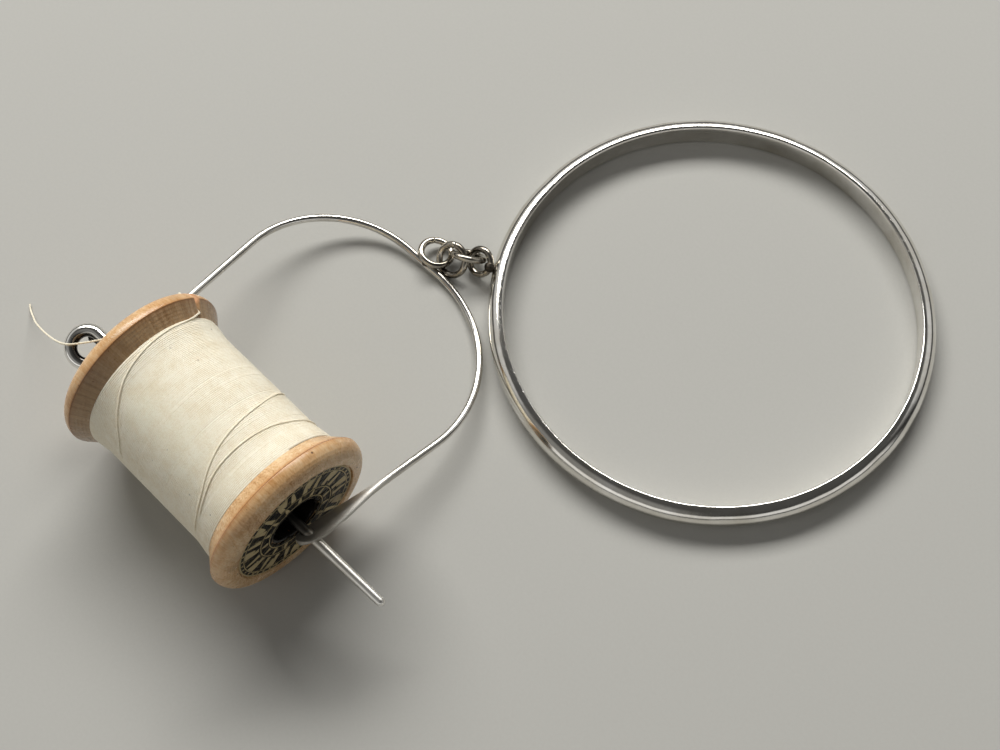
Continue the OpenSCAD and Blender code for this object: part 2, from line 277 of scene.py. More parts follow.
def tube(path, radius, sides, ply=0.0, lay=1.0):
    """Rings round a path. A ply makes it two-ply yarn, with grooves that share of the radius
    deep and one turn each lay."""
    path = np.asarray(path, float)
    way = np.gradient(path, axis=0)
    way /= np.linalg.norm(way, axis=1)[:, None]
    away = distances(path)
    side = unit(np.cross(way[0], UP if abs(way[0][2]) < 0.9 else [1, 0, 0]))
    turn = full_turn(sides)
    rings = []
    for i, t in enumerate(way):
        side = unit(side - t * (side @ t))
        other = np.cross(t, side)
        r = radius[i] if np.ndim(radius) else radius
        r = r * (1 + ply * np.cos(2 * turn + 2 * math.pi * away[i] / lay))
        rings.append(path[i] + (r * np.cos(turn))[:, None] * side
                     + (r * np.sin(turn))[:, None] * other)
    return rings


def rounded_end(ring, inner, reach):
    """Rings that close a tube in a rounded end, reach of a radius long, past its last ring."""
    centre = ring.mean(0)
    size = np.linalg.norm(ring - centre, axis=1).mean()
    out = unit(centre - inner.mean(0))
    return [centre + out * size * reach * math.sin(a) + (ring - centre) * math.cos(a)
            for a in np.radians([25, 50, 72, 86])]


def turned_on_reel(profile, steps):
    """A closed profile of (along, radius) points, turned round the reel's axis."""
    x, r = np.transpose(profile)
    return loop_skin([reel_at + np.column_stack([x, r * math.sin(a), r * math.cos(a)])
                      for a in full_turn(steps)])


def carve(thing, cutter, sharp):
    """Cuts the cutter out of the thing, and drops the cutter."""
    change = thing.modifiers.new("cut", "BOOLEAN")
    change.operation = "DIFFERENCE"
    change.solver = "EXACT"
    change.object = cutter
    bpy.context.view_layer.update()
    seen = thing.evaluated_get(bpy.context.evaluated_depsgraph_get())
    mesh = bpy.data.meshes.new_from_object(seen)
    thing.modifiers.clear()
    thing.data = mesh
    bpy.data.objects.remove(cutter)
    shade(mesh, sharp)


# ---- finishes ----

def hexa(code):
    """An sRGB hex colour as linear RGBA."""
    parts = [int(code[i:i + 2], 16) / 255 for i in (1, 3, 5)]
    return (*[c / 12.92 if c <= 0.04045 else ((c + 0.055) / 1.055) ** 2.4 for c in parts], 1.0)


def add(tree, kind, inputs=None, out=0, **settings):
    """Adds a node with its settings, links and values, and returns one of its outputs, or all
    of them where out is None."""
    node = tree.nodes.new(kind)
    for key, value in settings.items():
        setattr(node, key, value)
    for key, value in (inputs or {}).items():
        if isinstance(value, bpy.types.NodeSocket):
            tree.links.new(value, node.inputs[key])
        else:
            node.inputs[key].default_value = value
    return node.outputs if out is None else node.outputs[out]


def new_finish(name):
    """An empty material, its node tree and the place on the piece in millimetres."""
    finish = bpy.data.materials.new(name)
    finish.use_nodes = True
    tree = finish.node_tree
    tree.nodes.clear()
    place = add(tree, "ShaderNodeVectorMath",
                {0: add(tree, "ShaderNodeTexCoord", out="Object"), "Scale": 1 / MM},
                operation="SCALE")
    return finish, tree, place


def spot(tree, place, at, outer, inner, most=1.0):
    """A round patch: 0 past its outer radius, and most inside its inner one."""
    away = add(tree, "ShaderNodeVectorMath", {0: place, 1: tuple(at)}, out="Value",
               operation="DISTANCE")
    return add(tree, "ShaderNodeMapRange",
               {"Value": away, "From Min": outer, "From Max": inner, "To Max": most})


def reel_measures(tree, place):
    """A place on the reel, from its middle: its three parts, what of it is across the reel's
    axis, and its distance from that axis."""
    offset = add(tree, "ShaderNodeVectorMath", {0: place, 1: tuple(reel_at)},
                 operation="SUBTRACT")
    parts = add(tree, "ShaderNodeSeparateXYZ", {0: offset}, out=None)
    across = add(tree, "ShaderNodeCombineXYZ", {"Y": parts["Y"], "Z": parts["Z"]})
    away = add(tree, "ShaderNodeVectorMath", {0: across}, out="Value", operation="LENGTH")
    return parts, across, away


SCRATCH_DEEP = 0.02    # millimetres, in the softest silver


def silver(name, clean, film, low, high, ripple, scuff=0.1, unpolished=(), soiled=()):
    """Worked silver: a clean colour under a thin film, roughness from low to high, the ripple
    of hand finishing in millimetres, and how much rougher it is in a scratch. The unpolished
    places are (place, reach, how much rougher, how pickled): there the tool's skin was left,
    and acid may have left it white, so it scatters light as chalk does. The places of the last
    list are (place, reach, softness of the edge, how black): there the metal is painted dark,
    as painted shade in a dark bore or hollow."""
    finish, tree, place = new_finish(name)
    cloud = add(tree, "ShaderNodeTexNoise",
                {"Vector": place, "Scale": 0.12, "Detail": 5.0, "Roughness": 0.6})
    tone = add(tree, "ShaderNodeMapRange",
               {"Value": cloud, "From Min": 0.35, "From Max": 0.7})
    colour = add(tree, "ShaderNodeMix", {"Factor": tone, "A": hexa(clean), "B": hexa(film)},
                 out="Result", data_type="RGBA")
    # Painted shade: round each of these places the colour turns towards near black.
    for at, reach, edge, black in soiled:
        grease = spot(tree, place, at, reach + edge, reach - edge, black)
        colour = add(tree, "ShaderNodeMix", {"Factor": grease, "A": colour, "B": hexa("#241E19")},
                     out="Result", data_type="RGBA")
    rough = add(tree, "ShaderNodeMapRange",
                {"Value": cloud, "From Min": 0.3, "From Max": 0.75, "To Min": low, "To Max": high})
    waves = add(tree, "ShaderNodeTexNoise", {"Vector": place, "Scale": 0.45, "Detail": 1.0})
    bump = add(tree, "ShaderNodeBump",
               {"Height": waves, "Distance": ripple * MM, "Strength": 1.0}, out="Normal")
    if scuff:
        # Fine scratches from wear lie in several directions. They are drawn about 0.05 mm
        # wide, which is coarser than the real ones, so that they show.
        scratch = None
        for turn in ((0.3, 0.2, 0.5), (1.1, 0.7, 2.0), (2.2, 1.4, 0.9)):
            lines = add(tree, "ShaderNodeMapping",
                        {"Vector": place, "Rotation": turn, "Scale": (0.25, 9.0, 9.0)})
            lines = add(tree, "ShaderNodeTexNoise", {"Vector": lines, "Scale": 1.0, "Detail": 2.0})
            lines = add(tree, "ShaderNodeMapRange",
                        {"Value": lines, "From Min": 0.62, "From Max": 0.76})
            scratch = lines if scratch is None else add(
                tree, "ShaderNodeMath", {0: scratch, 1: lines}, operation="MAXIMUM")
        rough = add(tree, "ShaderNodeMath", {0: scratch, 1: scuff, 2: rough},
                    operation="MULTIPLY_ADD")
        bump = add(tree, "ShaderNodeBump",
                   {"Height": scratch, "Distance": -SCRATCH_DEEP * scuff * MM, "Strength": 1.0,
                    "Normal": bump}, out="Normal")
    metal = 1.0
    for at, reach, grain, pickled in unpolished:
        raw = spot(tree, place, at, reach, 0.4 * reach)
        rough = add(tree, "ShaderNodeMath", {0: raw, 1: grain, 2: rough}, operation="MULTIPLY_ADD")
        if pickled:
            metal = add(tree, "ShaderNodeMath", {0: raw, 1: -pickled, 2: metal},
                        operation="MULTIPLY_ADD")
    shader = add(tree, "ShaderNodeBsdfPrincipled",
                 {"Base Color": colour, "Metallic": metal, "Roughness": rough, "Normal": bump})
    add(tree, "ShaderNodeOutputMaterial", {"Surface": shader}, out=None)
    return finish


# Polished sterling silver: bright, nearly white, with clear reflections and light scratches.
polished_silver = silver("polished_silver", "#F0EEEA", "#CFCABF", 0.07, 0.16, 0.02)
# The chain was never buffed: greyer, with a brown film and softer reflections.
tarnished_silver = silver("tarnished_silver", "#C4BDB0", "#3C352D", 0.1, 0.22, 0.03)
# The forged wire of the yoke: bright silver with a soft ripple, and grey where its hammered
# ends were left rough.
forged_silver = silver("forged_silver", "#E0DDD7", "#B4AFA5", 0.12, 0.22, 0.02, 0.04,
                       [(on_yoke((side * HALF_SPAN, 4, 0)), 15, 0.36, 0.45) for side in (-1, 1)])
# The pin is drawn wire: bright, with soft wide reflections along its shaft and a polished eye.
# Where it turns in the reel it is painted dark brown, as painted shade for the dark bore, and
# inside its eye it is painted black, as painted shade for its hollow.
drawn_silver = silver("drawn_silver", "#EAE8E3", "#CFCBC2", 0.1, 0.18, 0.004, 0.0,
                      [(on_pin((pin_end - 7, 0, 0)), 34, 0.22, 0.0)],
                      soiled=[(pin_mid, HALF_SPAN - 0.2, 0.4, 0.82),
                              (on_pin((coil_x, -COIL_R, -1.0)), 2.45, 0.35, 0.95)])
# Silver solder: run metal, dark in its crevices and rough.
silver_solder = silver("silver_solder", "#635C53", "#1F1B17", 0.28, 0.45, 0.08)


def turned_birch(name):
    """Birch turned on a lathe: warm, close-grained, burnished on the rims, with the grain
    along the reel, end grain on the faces and fine rings from the tool."""
    finish, tree, place = new_finish(name)
    parts, across, away = reel_measures(tree, place)
    # Growth rings about 1.4 mm apart, round a heart that lies outside the reel
    heart = add(tree, "ShaderNodeVectorMath", {0: across, 1: (0.0, 31.0, -14.0)},
                operation="ADD")
    bend = add(tree, "ShaderNodeTexNoise", {"Vector": place, "Scale": 0.16, "Detail": 3.0})
    radius = add(tree, "ShaderNodeVectorMath", {0: heart}, out="Value", operation="LENGTH")
    radius = add(tree, "ShaderNodeMath", {0: bend, 1: 3.2, 2: radius}, operation="MULTIPLY_ADD")
    ring = add(tree, "ShaderNodeMath", {0: radius, 1: 2 * math.pi / 1.4}, operation="MULTIPLY")
    ring = add(tree, "ShaderNodeMath", {0: ring}, operation="SINE")
    # Fibres and pores along the reel, drawn 0.25 mm across and some 8 mm long, which is
    # coarser than the real ones, so that they show
    fibre = add(tree, "ShaderNodeMapping", {"Vector": place, "Scale": (0.13, 4.0, 4.0)})
    fibre = add(tree, "ShaderNodeTexNoise",
                {"Vector": fibre, "Scale": 1.0, "Detail": 4.0, "Roughness": 0.65})
    blotch = add(tree, "ShaderNodeTexNoise", {"Vector": place, "Scale": 0.22, "Detail": 6.0,
                                              "Roughness": 0.6})
    mixed = add(tree, "ShaderNodeMath", {0: ring, 1: 0.04, 2: fibre}, operation="MULTIPLY_ADD")
    mixed = add(tree, "ShaderNodeMath", {0: blotch, 1: 0.7, 2: mixed}, operation="MULTIPLY_ADD")
    tone = add(tree, "ShaderNodeMapRange", {"Value": mixed, "From Min": 0.58, "From Max": 1.1})
    colour = add(tree, "ShaderNodeValToRGB", {0: tone})
    stops = colour.node.color_ramp.elements
    stops[0].position, stops[0].color = 0.0, hexa("#B9854F")
    stops[1].position, stops[1].color = 1.0, hexa("#F2D8B0")
    stops.new(0.5).color = hexa("#E0B888")
    # Handling has warmed and browned the outer rims.
    rim = add(tree, "ShaderNodeMapRange",
              {"Value": away, "From Min": FLANGE_R - 1.5, "From Max": FLANGE_R - 0.1,
               "To Max": 0.4})
    # Fingers have left grimy patches, some 8 mm across.
    grime = add(tree, "ShaderNodeTexNoise", {"Vector": place, "Scale": 0.13, "Detail": 4.0,
                                             "Roughness": 0.65})
    grime = add(tree, "ShaderNodeMapRange",
                {"Value": grime, "From Min": 0.5, "From Max": 0.68, "To Max": 0.42})
    stains = [(rim, hexa("#C89660")), (grime, hexa("#8A6440"))]
    # A dark line is painted along the crisp edge where the flare was cut into the rim, with an
    # orange brown band on both sides of it.
    along = add(tree, "ShaderNodeMath", {0: parts["X"]}, operation="ABSOLUTE")
    for inset, reach, code, much in ((0.0, 0.6, "#B87840", 0.6), (0.05, 0.15, "#6A4424", 0.7)):
        gap = add(tree, "ShaderNodeMath", {0: along, 1: FACE - FLANGE_T + inset},
                  operation="SUBTRACT")
        gap = add(tree, "ShaderNodeMath", {0: gap}, operation="ABSOLUTE")
        line = add(tree, "ShaderNodeMapRange",
                   {"Value": gap, "From Min": 0.0, "From Max": reach, "To Min": much,
                    "To Max": 0.0}, interpolation_type="SMOOTHSTEP")
        stains.append((line, hexa(code)))
    # The far flare is painted brown, partly a stain where the thread was drawn over it and partly
    # painted shade, as this face turns away from the light. On it the cut fibres show as streaks
    # that run outwards, some 0.6 mm apart.
    flare = add(tree, "ShaderNodeMapRange",
                {"Value": parts["X"], "From Min": FLANGE_T - FACE - 0.12,
                 "From Max": FLANGE_T - FACE + 0.1, "To Max": 0.72})
    far_half = add(tree, "ShaderNodeMath", {0: parts["X"], 1: 0.0}, operation="LESS_THAN")
    flare = add(tree, "ShaderNodeMath", {0: flare, 1: far_half}, operation="MULTIPLY")
    spoke = add(tree, "ShaderNodeVectorMath", {0: across}, operation="NORMALIZE")
    streak = add(tree, "ShaderNodeTexNoise", {"Vector": spoke, "Scale": FLANGE_R / 0.6,
                                              "Detail": 3.0, "Roughness": 0.6})
    streak = add(tree, "ShaderNodeMapRange", {"Value": streak, "From Min": 0.36, "From Max": 0.64})
    brown = add(tree, "ShaderNodeMix",
                {"Factor": streak, "A": hexa("#765C41"), "B": hexa("#A08565")},
                out="Result", data_type="RGBA")
    # The bore is painted near black, as painted shade for its dark inside.
    hole = add(tree, "ShaderNodeMapRange",
               {"Value": away, "From Min": BORE_R + 0.7, "From Max": BORE_R + 0.3})
    # The slit for the thread has been torn wider lately: its wood is fresh and peach pink.
    slit_at = around(FLANGE_T / 2 - FACE, FLANGE_R - 0.6, NOTCH_AT)
    torn = spot(tree, place, slit_at, 1.7, 1.2, 0.85)
    # One pinprick, and a few specks.
    prick = spot(tree, place, around(FACE - 1.9, FLANGE_R, 27), 0.22, 0.12, 0.85)
    specks = add(tree, "ShaderNodeTexNoise", {"Vector": place, "Scale": 1.5, "Detail": 2.0})
    specks = add(tree, "ShaderNodeMapRange",
                 {"Value": specks, "From Min": 0.71, "From Max": 0.76, "To Max": 0.7})
    stains += [(flare, brown), (hole, hexa("#120D09")), (torn, hexa("#E8B68C")),
               (prick, hexa("#3A2415")), (specks, hexa("#6A4528"))]
    for share, stain in stains:
        colour = add(tree, "ShaderNodeMix", {"Factor": share, "A": colour, "B": stain},
                     out="Result", data_type="RGBA")
    # Rings from the turning tool, drawn 0.35 mm apart, wide enough to show
    marks = add(tree, "ShaderNodeMath", {0: away, 1: 2 * math.pi / 0.35}, operation="MULTIPLY")
    marks = add(tree, "ShaderNodeMath", {0: marks}, operation="SINE")
    marks = add(tree, "ShaderNodeMath", {0: marks, 1: bend}, operation="MULTIPLY")
    bump = add(tree, "ShaderNodeBump",
               {"Height": marks, "Distance": 0.012 * MM, "Strength": 1.0}, out="Normal")
    bump = add(tree, "ShaderNodeBump",
               {"Height": fibre, "Distance": 0.04 * MM, "Strength": 1.0, "Normal": bump},
               out="Normal")
    rough = add(tree, "ShaderNodeMapRange",
                {"Value": blotch, "From Min": 0.3, "From Max": 0.7, "To Min": 0.16,
                 "To Max": 0.34})
    shader = add(tree, "ShaderNodeBsdfPrincipled",
                 {"Base Color": colour, "Roughness": rough, "Normal": bump, "IOR": 1.5})
    add(tree, "ShaderNodeOutputMaterial", {"Surface": shader}, out=None)
    return finish


def spun_cotton(name, light, shade):
    """Mercerised sewing cotton: cream, matt, softened by fibres that stand off it."""
    finish, tree, place = new_finish(name)
    cloud = add(tree, "ShaderNodeTexNoise",
                {"Vector": place, "Scale": 0.42, "Detail": 6.0, "Roughness": 0.72})
    fleck = add(tree, "ShaderNodeTexNoise", {"Vector": place, "Scale": 6.0, "Detail": 3.0})
    both = add(tree, "ShaderNodeMath", {0: fleck, 1: 0.8, 2: cloud}, operation="MULTIPLY_ADD")
    tone = add(tree, "ShaderNodeMapRange", {"Value": both, "From Min": 0.72, "From Max": 1.02})
    colour = add(tree, "ShaderNodeMix", {"Factor": tone, "A": hexa(shade), "B": hexa(light)},
                 out="Result", data_type="RGBA")
    # A few tiny specks of dust caught in the cotton
    dust = add(tree, "ShaderNodeTexNoise", {"Vector": place, "Scale": 1.1, "Detail": 1.0})
    dust = add(tree, "ShaderNodeMapRange",
               {"Value": dust, "From Min": 0.785, "From Max": 0.81, "To Max": 0.6})
    colour = add(tree, "ShaderNodeMix", {"Factor": dust, "A": colour, "B": hexa("#7A6A50")},
                 out="Result", data_type="RGBA")
    # Twisted fibres, drawn 0.08 mm across, which is coarser than the real ones
    fibre = add(tree, "ShaderNodeTexNoise", {"Vector": place, "Scale": 12.0, "Detail": 2.0})
    bump = add(tree, "ShaderNodeBump",
               {"Height": fibre, "Distance": 0.012 * MM, "Strength": 1.0}, out="Normal")
    shader = add(tree, "ShaderNodeBsdfPrincipled",
                 {"Base Color": colour, "Roughness": 0.85, "Normal": bump, "IOR": 1.46,
                  "Sheen Weight": 0.3, "Sheen Roughness": 0.5})
    add(tree, "ShaderNodeOutputMaterial", {"Surface": shader}, out=None)
    return finish


def printed_paper(name):
    """Varnished label paper: black print of rays and rings on cream, with a soft gloss."""
    finish, tree, place = new_finish(name)
    parts, across, away = reel_measures(tree, place)
    angle = add(tree, "ShaderNodeMath", {0: parts["Z"], 1: parts["Y"]}, operation="ARCTAN2")

    def band(low, high):
        """1 between two radii."""
        half = (high - low) / 2
        return add(tree, "ShaderNodeMath", {0: away, 1: low + half, 2: half}, operation="COMPARE")

    def petals(count, wide, narrow, low, high, phase):
        """1 inside count shapes that taper from wide at the radius low to narrow at high."""
        wave = add(tree, "ShaderNodeMath", {0: angle, 1: float(count), 2: phase},
                   operation="MULTIPLY_ADD")
        wave = add(tree, "ShaderNodeMath", {0: wave}, operation="SINE")
        limit = add(tree, "ShaderNodeMapRange",
                    {"Value": away, "From Min": low, "From Max": high,
                     "To Min": wide, "To Max": narrow})
        inside = add(tree, "ShaderNodeMath", {0: wave, 1: limit}, operation="GREATER_THAN")
        return add(tree, "ShaderNodeMath", {0: inside, 1: band(low, high)}, operation="MULTIPLY")

    cream = band(10.25, 10.6)
    for part in (band(9.55, 9.7), band(6.5, 6.65), band(4.9, 5.05),
                 petals(22, 0.15, 0.9, 6.9, 9.4, 0.4), petals(11, 0.99, 0.55, 7.6, 9.5, 2.0),
                 petals(15, 0.5, 0.95, 5.2, 6.4, 1.1), petals(44, 0.6, 0.75, 9.8, 10.15, 0.0)):
        cream = add(tree, "ShaderNodeMath", {0: cream, 1: part}, operation="MAXIMUM")
    # The ink has rubbed away in spots, down to the paper.
    rub = add(tree, "ShaderNodeTexNoise",
              {"Vector": place, "Scale": 1.3, "Detail": 5.0, "Roughness": 0.7})
    worn = add(tree, "ShaderNodeMapRange",
               {"Value": rub, "From Min": 0.56, "From Max": 0.66, "To Max": 0.75})
    cream = add(tree, "ShaderNodeMath", {0: cream, 1: worn}, operation="MAXIMUM")
    age = add(tree, "ShaderNodeMix",
              {"Factor": rub, "A": hexa("#D9C9A0"), "B": hexa("#B49F74")},
              out="Result", data_type="RGBA")
    colour = add(tree, "ShaderNodeMix", {"Factor": cream, "A": hexa("#0D0C0A"), "B": age},
                 out="Result", data_type="RGBA")
    # The paper has crinkled as it dried, in creases some 1.5 mm apart.
    crease = add(tree, "ShaderNodeTexVoronoi", {"Vector": place, "Scale": 0.65},
                 feature="DISTANCE_TO_EDGE")
    bump = add(tree, "ShaderNodeBump",
               {"Height": crease, "Distance": 0.3 * MM, "Strength": 1.0}, out="Normal")
    bump = add(tree, "ShaderNodeBump",
               {"Height": rub, "Distance": 0.1 * MM, "Strength": 1.0, "Normal": bump},
               out="Normal")
    shader = add(tree, "ShaderNodeBsdfPrincipled",
                 {"Base Color": colour, "Roughness": 0.3, "Normal": bump, "IOR": 1.5,
                  "Specular IOR Level": 0.07})
    add(tree, "ShaderNodeOutputMaterial", {"Surface": shader}, out=None)
    return finish


birch = turned_birch("turned_birch")
cotton_wound = spun_cotton("wound_cotton", "#FBF4E0", "#F0E4C9")
cotton_strand = spun_cotton("cotton_strand", "#F9F1DB", "#EADEC2")
label_paper = printed_paper("printed_label_paper")


# ---- thread tail: the free end of the cotton ----

# The thread rests where the notch is a little wider than it is.
notch_r = FLANGE_R - NOTCH_DEEP + 2 * THREAD_R * 1.1 * NOTCH_DEEP / NOTCH_W
lead_end = -FACE - 1.3 * THREAD_R
tail_start = around(lead_end - 0.02, notch_r, NOTCH_AT)
# Each turn is along the reel and across it from the notch, and a share of its height.
tail_turns = [(0, 0, 1), (-0.14, -0.15, 0.985), (-0.25, -0.8, 0.945), (-0.75, -3, 0.865),
              (-2, -7.2, 0.79), (-4.6, -11.4, 0.75), (-6.6, -14.2, 0.735), (-9, -16.1, 0.68),
              (-13.9, -16.3, 0.46), (-19.3, -15.8, 0.24), (-22.5, -15, 0.097),
              (-24.4, -14.4, 0.026), (-25.5, -13.8, 0.011)]
tail_route = [(tail_start[0] + x, tail_start[1] + y, tail_start[2] * z) for x, y, z in tail_turns]
tail_path = evenly(curve(tail_route, 8), YARN_STEP)
tail = piece("cotton_tail", *skin(tube(tail_path, THREAD_R, 8, ply=0.06, lay=YARN_LAY)),
             cotton_strand, "pin", "cotton")
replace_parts(tail, "thread_tail")


# ---- bangle ----

BORE = 32.5
HALF_H = 2.2
CROWN = BORE + 0.3
EASE = 0.35            # worn edge between the flat inside and the round


def band_section():
    """(out from the axis, height) round the half-round band."""
    a = np.radians(np.linspace(-84, 84, 40))
    crown = np.column_stack([CROWN + HALF_H * np.cos(a), HALF_H + HALF_H * np.sin(a)])
    b = np.radians(np.linspace(105, 180, 7))
    top = np.column_stack([BORE + EASE + EASE * np.cos(b),
                           2 * HALF_H - EASE + EASE * np.sin(b)])
    flat = [(BORE, 2 * HALF_H - EASE - k * (2 * HALF_H - 2 * EASE) / 6) for k in range(1, 6)]
    low = np.column_stack([top[::-1, 0], 2 * HALF_H - top[::-1, 1]])
    return np.concatenate([crown, top, flat, low])


def bangle_band():
    """The band was bent and filed by hand, so its skin wavers by a few hundredths, and it has
    small dents: (place round the band, turn round its section, size, depth)."""
    section = band_section()
    mid = np.array([CROWN + 0.6, HALF_H])
    dents = [(rng.uniform(0, 2 * math.pi), rng.uniform(-60, 70), rng.uniform(0.9, 2.2),
              rng.uniform(0.02, 0.06)) for _ in range(26)]
    rows = []
    for a in full_turn(420):
        wave = (0.022 * math.sin(5 * a + 1) + 0.014 * math.sin(11 * a + 0.4)
                + 0.008 * math.sin(23 * a))
        lift = 0.016 * math.sin(7 * a + 2.2) + 0.01 * math.sin(17 * a + 1.3)
        ring = section.copy()
        turn = np.degrees(np.arctan2(ring[:, 1] - mid[1], ring[:, 0] - mid[0]))
        sink = np.zeros(len(ring))
        for at, side, size, deep in dents:
            far = (math.atan2(math.sin(a - at), math.cos(a - at)) * BORE / size) ** 2
            sink += deep * np.exp(-far - ((turn - side) * math.pi / 180 * HALF_H / size) ** 2)
        way = (ring - mid) / np.linalg.norm(ring - mid, axis=1)[:, None]
        ring = ring - way * (sink + 0.02)[:, None]
        ring[:, 0] += wave
        ring[:, 1] = np.clip(ring[:, 1] + lift * np.sin(math.pi * ring[:, 1] / (2 * HALF_H)),
                             0.0, None)
        rows.append(np.column_stack([ring[:, 0] * math.cos(a), ring[:, 0] * math.sin(a),
                                     ring[:, 1]]))
    return loop_skin(rows)


bangle = piece("bangle_band", *bangle_band(), polished_silver, "bangle", "silver")
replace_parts(bangle, "bangle")


# ---- chain ----

def wire_ring(name, node, body, mean_r, seam):
    """A ring bent from round wire, with the faint nick of its closed joint at seam."""
    centre, normal, across = ring_of(node)
    side = np.cross(normal, across)
    turn = full_turn(20)
    rings = []
    for a in full_turn(120):
        gap = math.atan2(math.sin(a - seam), math.cos(a - seam)) * mean_r
        wire = (LINK_WIRE_R - 0.07 * math.exp(-(gap / 0.12) ** 2)
                - 0.012 * (1 + math.sin(3 * a + seam)))
        out = math.cos(a) * across + math.sin(a) * side
        rings.append(centre + (mean_r + wire * np.cos(turn))[:, None] * out
                     + (wire * np.sin(turn))[:, None] * normal)
    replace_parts(piece(name, *loop_skin(rings), tarnished_silver, body, "silver"), node)


wire_ring("ring_on_bangle", "bangle_eye", "bangle", EYE_R, 0.6)
wire_ring("chain_ring_1", "chain_link_1", "link_1", LINK_R, 2.4)
wire_ring("chain_ring_2", "chain_link_2", "link_2", LINK_R, 4.1)
wire_ring("ring_on_yoke", "yoke_eye", "yoke", LINK_R, 5.2)


def run_solder(name, node, body, squash):
    """Solder that ran into a joint and froze, in a lumpy skin with soft shoulders."""
    low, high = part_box(node)
    half = (np.array(high) - np.array(low)) / 2 / MM
    work = bmesh.new()
    bmesh.ops.create_icosphere(work, subdivisions=4, radius=1.0)
    points = []
    for x, y, z in (v.co for v in work.verts):
        lump = (0.96 + 0.05 * math.sin(5 * x + 2) * math.sin(6 * y)
                + 0.03 * math.sin(9 * z + 4 * x))
        points.append(middle(node) + np.array([x, y, z]) * half * lump * squash)
    faces = [[v.index for v in f.verts] for f in work.faces]
    work.free()
    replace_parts(piece(name, points, faces, silver_solder, body, "solder"), node)


run_solder("solder_on_bangle", "bangle_solder", "bangle", 1.0)
run_solder("solder_on_yoke", "yoke_solder", "yoke", 0.98)


# ---- yoke ----

SPLAY = math.radians(5)
BOW_CORNERS = (17, 21)
BLADE_SQUARE = 3.4     # 2 is a round section
HAMMERED = 0.03        # depth of the hammer's marks on a blade
BEATEN = 0.55          # how far a blade's upper edge is beaten down


def blade_w(s):
    """Half width of a leg, s from its pin hole."""
    if s < 0:
        return BLADE_HALF_W * math.sqrt(max(0.02, 1 - (s / BLADE_HALF_W) ** 2))
    return BLADE_HALF_W + (WIRE_R - BLADE_HALF_W) * smooth(s / BLADE_LEN)


def blade_half_t(s):
    """Half thickness of a leg, s from its pin hole."""
    along = (s - BLADE_FULL) / (BLADE_LEN - BLADE_FULL)
    return BLADE_T / 2 + (WIRE_R - BLADE_T / 2) * smooth(along)


def yoke_section(m, heading, t, w, n, hammer, lean, bevel=0.0):
    """The wire's section at m: half thickness t, half width w, squareness n. Its upper edge
    leans outwards, hammer is the depth of the marks on its faces, and bevel is how far the
    inner face is beaten down along its upper edge."""
    out = np.array([-math.sin(heading), math.cos(heading), 0])
    a = math.cos(lean) * out - math.sin(lean) * UP
    b = math.cos(lean) * UP + math.sin(lean) * out
    c, s = np.cos(full_turn(40)), np.sin(full_turn(40))
    flat = np.sign(c) * np.abs(c) ** (2 / n)
    wide = np.sign(s) * np.abs(s) ** (2 / n)
    place = m[0] * 1.7 + m[1] * 1.3
    mark = hammer * (np.sin(place + 2.2 * wide * w) * np.sin(0.6 * place + 1.7 * wide) - 0.9)
    beaten = bevel * np.clip((-wide - 0.42) / 0.58, 0, 1) * (flat < 0.3)
    return m + ((t + mark * np.abs(c)) * flat + beaten)[:, None] * a - (w * wide)[:, None] * b


def blade_ring(side, s):
    m = np.array([side * (HALF_SPAN + s * math.sin(SPLAY)), s * math.cos(SPLAY), 0])
    wire = smooth(s / BLADE_LEN)
    return yoke_section(m, -side * (math.pi / 2 + SPLAY), blade_half_t(s), blade_w(s),
                        BLADE_SQUARE + (2 - BLADE_SQUARE) * wire, HAMMERED * (1 - 0.75 * wire),
                        LEANS[int(side > 0)], BEATEN * (1 - wire) * smooth((s + 1.5) / 3))


def corner(r, side):
    """The centre of a rounded corner of the bow."""
    leg = (YOKE_DEPTH - r - r * math.sin(SPLAY)) / math.cos(SPLAY)
    return side * (HALF_SPAN + leg * math.sin(SPLAY) - r * math.cos(SPLAY)), YOKE_DEPTH - r


def bow_ring(x, y, heading):
    lean = LEANS[0] + (LEANS[1] - LEANS[0]) * smooth(0.5 - heading / math.pi)
    return yoke_section(np.array([x, y, 0]), heading, WIRE_R, WIRE_R, 2, 0.012, lean)


def yoke_rings():
    steps = [-BLADE_HALF_W * math.sin(math.radians(a)) for a in range(82, 0, -8)]
    steps += [BLADE_LEN * i / 40 for i in range(41)]
    rings = [blade_ring(-1, s) for s in steps]
    far, near = corner(BOW_CORNERS[0], -1), corner(BOW_CORNERS[1], 1)
    bends = []
    for (x, y), r, angles in ((far, BOW_CORNERS[0], np.arange(185, 89, -2.5)),
                              (near, BOW_CORNERS[1], np.arange(90, -5.1, -2.5))):
        bends += [(x + r * math.cos(t), y + r * math.sin(t), t - math.pi / 2)
                  for t in np.radians(angles)]
    feet = [blade_ring(side, steps[-1]).mean(0) for side in (-1, 1)]
    legs = []
    for start, end, heading in ((feet[0], bends[0], bends[0][2]),
                                (bends[-1], feet[1], bends[-1][2])):
        legs.append([(x, y, heading) for x, y in np.linspace(start[:2], end[:2], 24)[1:-1]])
    rings += [bow_ring(*at) for at in legs[0] + bends + legs[1]]
    return rings + [blade_ring(1, s) for s in reversed(steps)]


def pin_r(x):
    return PIN_R - (PIN_R - PIN_TIP_R) * (x - coil_x) / (pin_end - coil_x)


points, faces = skin(yoke_rings())
yoke = piece("yoke_wire", on_yoke(points), faces, forged_silver, "yoke", "silver")
for side in (-1, 1):
    hole = np.array([[side * HALF_SPAN - 3, 0, 0], [side * HALF_SPAN + 3, 0, 0]])
    drill = skin(tube(hole, pin_r(side * HALF_SPAN) + PIN_CLEAR, 48))
    carve(yoke, piece("drill", on_yoke(drill[0]), drill[1], forged_silver, None, None), 50)
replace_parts(yoke, "yoke")


# ---- pin ----

